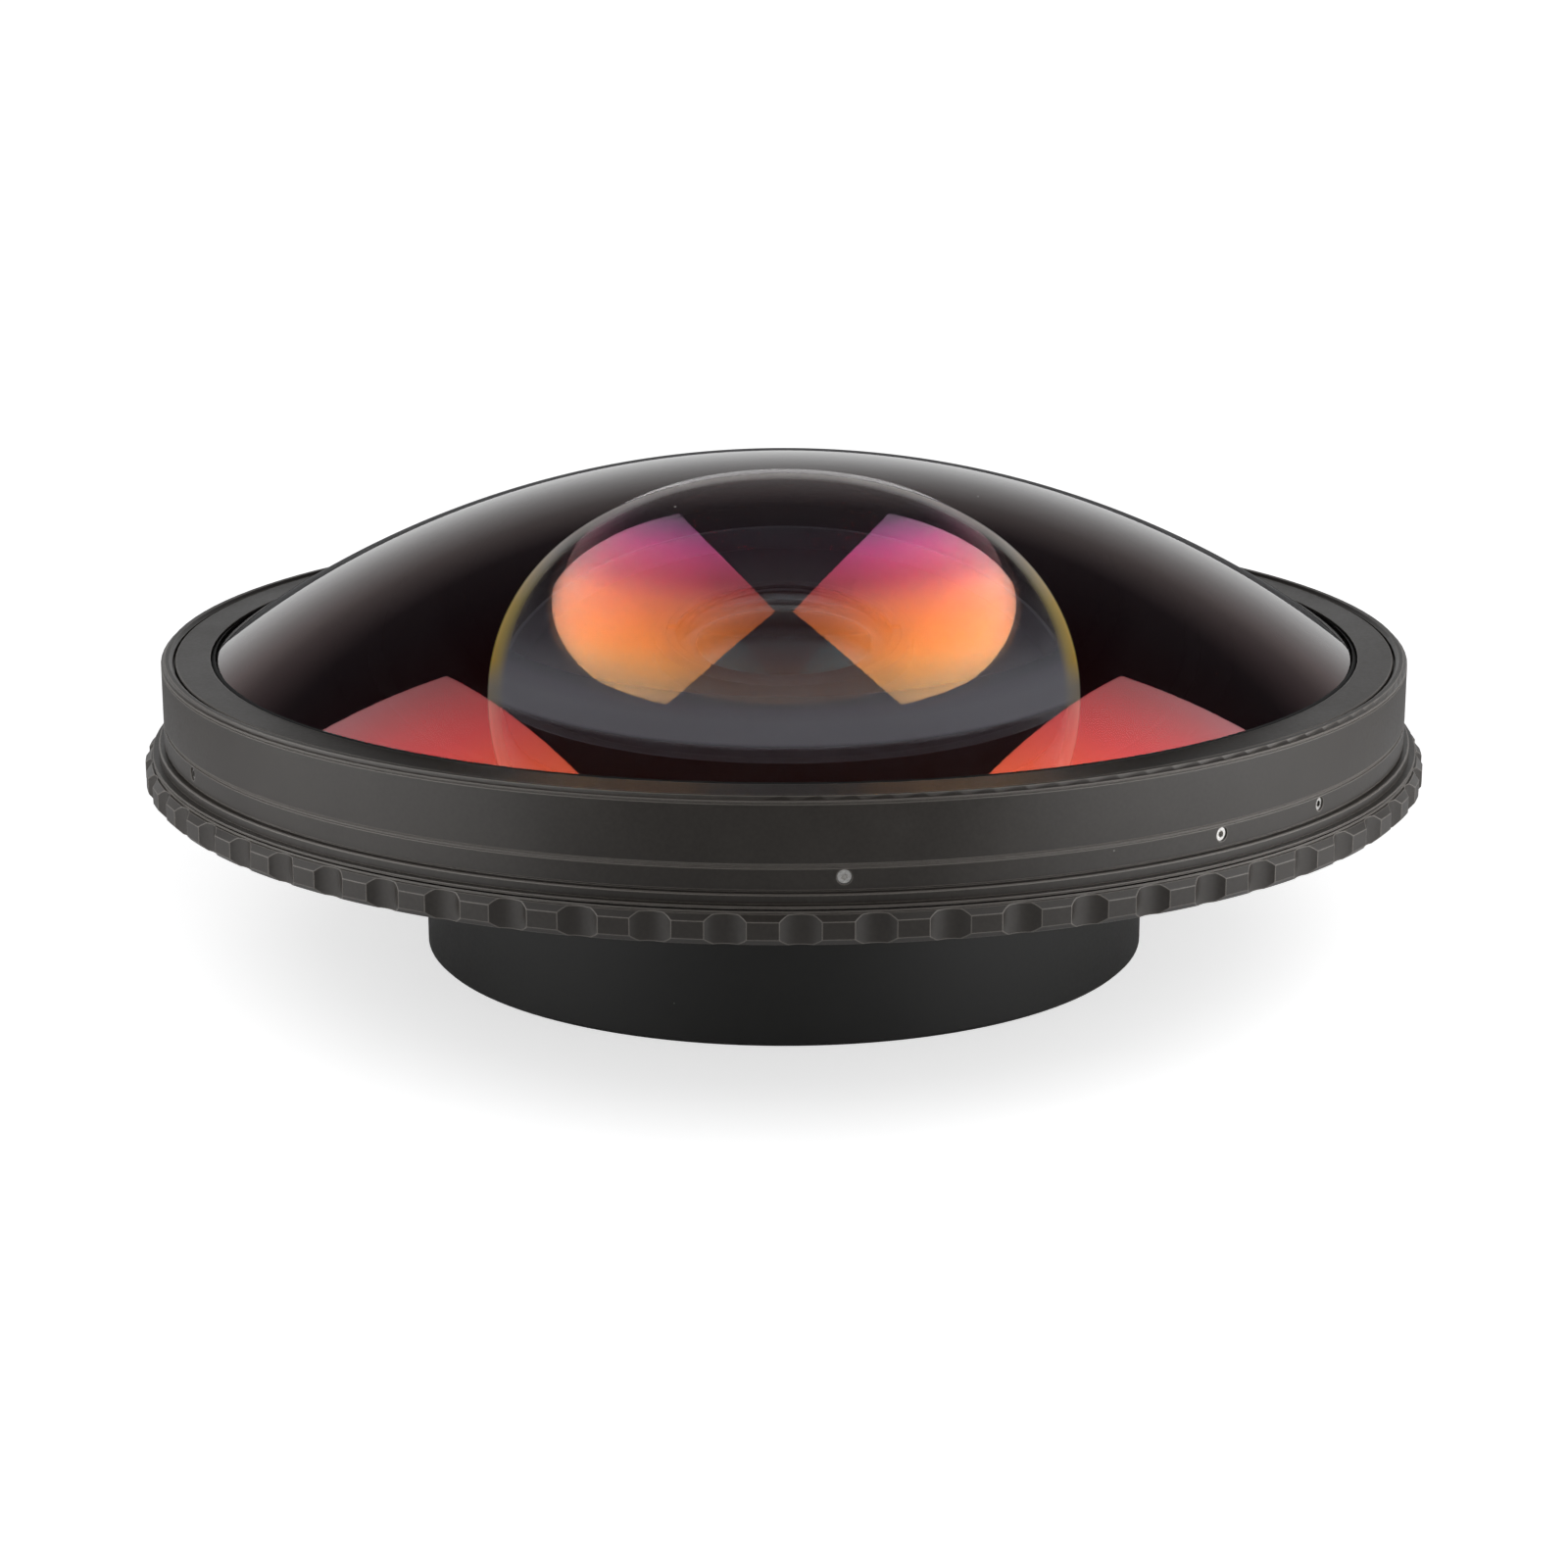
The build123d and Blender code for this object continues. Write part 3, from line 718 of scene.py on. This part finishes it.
def pale_floor():
    """A wide pale floor that keeps the shadow, and shows nothing from below."""
    mesh = flat_sheet("floor", FLOOR_HALF, FLOOR_HALF, FLOOR_HEIGHT)
    floor = linked("floor", mesh)
    made, nodes = material("pale_floor")
    rays = nodes.add("ShaderNodeLightPath")
    grain = nodes.ramp(noise(nodes, 40.0), FLOOR_GREYS).outputs[0]
    matte = nodes.add("ShaderNodeBsdfPrincipled", Base_Color=grain, Roughness=0.9)
    place = own_place(nodes)
    away = nodes.range(length_of(nodes, place[0], place[1]), *FLOOR_GLOW_FROM_TO, FLOOR_GLOW_NEAR, 1.0)
    strength = nodes.maths("MULTIPLY", rays.outputs["Is Camera Ray"], away)
    glow = nodes.add("ShaderNodeEmission", Strength=strength)
    lit = nodes.add("ShaderNodeAddShader", i0=matte.outputs[0], i1=glow.outputs[0])
    clear = nodes.add("ShaderNodeBsdfTransparent")
    below = nodes.add("ShaderNodeNewGeometry").outputs["Backfacing"]
    shader = nodes.add("ShaderNodeMixShader", i0=below, i1=lit.outputs[0], i2=clear.outputs[0])
    finish_material(nodes, shader.outputs[0])
    mesh.materials.append(made)


def studio_world():
    """White to the eye, and round the lens a pale band at the horizon under a dark ceiling."""
    world = bpy.data.worlds.new("studio")
    world.use_nodes = True
    bpy.context.scene.world = world
    nodes = Nodes(world.node_tree)
    way = nodes.add("ShaderNodeTexCoord").outputs["Generated"]
    height = nodes.add("ShaderNodeSeparateXYZ", i0=way).outputs[2]
    band = nodes.ramp(height, WORLD_BAND).outputs[0]
    seen = nodes.add("ShaderNodeLightPath").outputs["Is Camera Ray"]
    light = nodes.add("ShaderNodeBackground", Color=nodes.blend(seen, band, WHITE), Strength=1.0)
    nodes.add("ShaderNodeOutputWorld", i0=light.outputs[0])


def panel_fall(nodes, place, hot_place):
    """How the light falls from a panel's bright middle to its edges. Places run from 0 to 1 both ways."""
    parts = nodes.add("ShaderNodeSeparateXYZ", i0=place).outputs
    offsets = [nodes.maths("SUBTRACT", parts[axis], hot_place[axis]) for axis in (0, 1)]
    return nodes.ramp(length_of(nodes, *offsets), PANEL_FALL).outputs[0]


def panel_lamp(name, size, radiance, hot_place):
    """The light that a panel gives."""
    lamp = bpy.data.lights.new(name, "AREA")
    lamp.shape = "RECTANGLE"
    lamp.size, lamp.size_y = size
    lamp.energy = math.pi * size[0] * size[1]
    lamp.use_nodes = True
    nodes = Nodes(lamp.node_tree)
    place = nodes.add("ShaderNodeNewGeometry").outputs["Parametric"]
    glow = nodes.add("ShaderNodeEmission", Color=panel_fall(nodes, place, hot_place), Strength=radiance)
    nodes.add("ShaderNodeOutputLight", i0=glow.outputs[0])
    return linked(name, lamp)


def panel_face(name, size, radiance, hot_place):
    """The face of the same panel, which shows only where polished glass mirrors or shows it."""
    mesh = flat_sheet(name, size[0] / 2, size[1] / 2)
    corners = mesh.uv_layers.new(name="face").uv
    for corner, place in enumerate(((0, 0), (1, 0), (1, 1), (0, 1))):
        corners[corner].vector = place
    made, nodes = material(name)
    made.cycles.emission_sampling = "NONE"
    place = nodes.add("ShaderNodeTexCoord").outputs["UV"]
    mirrored = nodes.add("ShaderNodeLightPath").outputs["Is Singular Ray"]
    strength = nodes.maths("MULTIPLY", mirrored, radiance * PANEL_GLARE)
    glow = nodes.add("ShaderNodeEmission", Color=panel_fall(nodes, place, hot_place), Strength=strength)
    clear = nodes.add("ShaderNodeBsdfTransparent")
    both = nodes.add("ShaderNodeAddShader", i0=glow.outputs[0], i1=clear.outputs[0])
    finish_material(nodes, both.outputs[0])
    mesh.materials.append(made)
    face = linked(name, mesh)
    face.visible_diffuse = face.visible_shadow = False
    return face


def soft_panel(name, side, radiance):
    """One of the two leaning panels, on the side where x has this sign."""
    mirror = Vector((-side, 1.0, 1.0))
    back, front, down = (point * mirror for point in (PANEL_BACK_CORNER, PANEL_FRONT_CORNER, PANEL_DOWN))
    across = front - back
    along = across.normalized() * -side
    down = (down - along * down.dot(along)).normalized()
    centre = (back + front + down * PANEL_DROP) / 2
    size = (across.length, PANEL_DROP)
    hot_along = PANEL_HOT_ALONG if side < 0 else 1.0 - PANEL_HOT_ALONG
    hot_place = (hot_along, 1.0 - PANEL_HOT_DOWN)
    forwards = along.cross(down)
    lamp = panel_lamp(name + "_lamp", size, radiance, hot_place)
    face = panel_face(name + "_face", size, radiance, hot_place)
    for panel, nearer in ((lamp, 0.0), (face, PANEL_FACE_GAP)):
        panel.matrix_world = to_matrix(along, -down, -forwards, centre + forwards * nearer)
        panel.visible_camera = False


def to_matrix(right, up, back, place):
    """The place and turn of an object from its own three directions."""
    made = Matrix.Identity(4)
    for column, direction in enumerate((right, up, back)):
        made.col[column].xyz = direction
    made.translation = place
    return made


def photograph_camera():
    """The camera that was fitted to the photograph."""
    data = bpy.data.cameras.new("camera")
    data.lens = CAMERA_LENS
    data.sensor_width = CAMERA_SENSOR
    data.clip_start, data.clip_end = 0.01, 20.0
    camera = linked("camera", data)
    camera.location = CAMERA_PLACE
    towards = Vector(CAMERA_TARGET) - Vector(CAMERA_PLACE)
    camera.rotation_euler = towards.to_track_quat("-Z", "Y").to_euler()
    bpy.context.scene.camera = camera


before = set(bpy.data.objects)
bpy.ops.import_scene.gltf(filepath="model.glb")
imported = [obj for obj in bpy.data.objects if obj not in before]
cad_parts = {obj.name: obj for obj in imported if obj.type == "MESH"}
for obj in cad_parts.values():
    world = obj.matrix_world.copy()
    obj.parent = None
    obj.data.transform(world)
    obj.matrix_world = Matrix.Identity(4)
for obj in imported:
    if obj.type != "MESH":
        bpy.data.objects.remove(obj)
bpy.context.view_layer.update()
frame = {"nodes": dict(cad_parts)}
photograph_camera()
studio_world()
pale_floor()
soft_panel("left_panel", -1, LEFT_PANEL_RADIANCE)
soft_panel("right_panel", 1, RIGHT_PANEL_RADIANCE)
looks = make_materials()
dress_solids(frame["nodes"], looks)
front_glass(looks)
second_glass(looks)
rear_pair(looks)
bpy.context.scene.view_settings.view_transform = "Standard"
